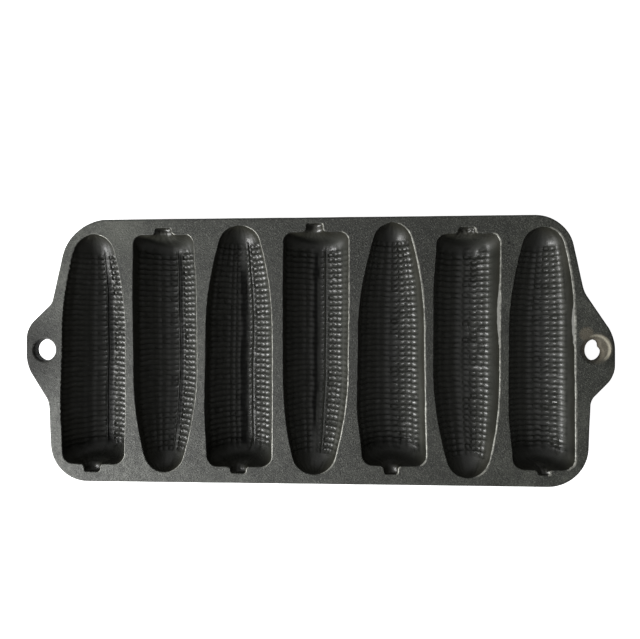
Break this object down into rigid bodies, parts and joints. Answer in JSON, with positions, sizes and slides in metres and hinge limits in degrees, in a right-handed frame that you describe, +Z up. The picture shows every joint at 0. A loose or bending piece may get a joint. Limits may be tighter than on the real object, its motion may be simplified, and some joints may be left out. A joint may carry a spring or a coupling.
{
  "type": "corn stick pan",
  "caption": "Flat cast iron baking pan with a row of cob-shaped moulds turned tip up and tip down by turns, and a hanging hole in an ear at each end.",
  "frame": {"origin": "centre of the pan's outline, on the surface that the pan rests on", "axes": "+X along the length from one ear to the other, +Y from the front edge to the rear edge across the moulds' length, +Z up out of the moulds"},
  "size_m": [0.324, 0.147, 0.02],
  "materials": {
    "seasoned_iron": "seasoned sand-cast skin, darker and glossier in the moulds"
  },
  "bodies": {
    "root": {"pan_casting": "seasoned_iron"}
  },
  "joints": []
}
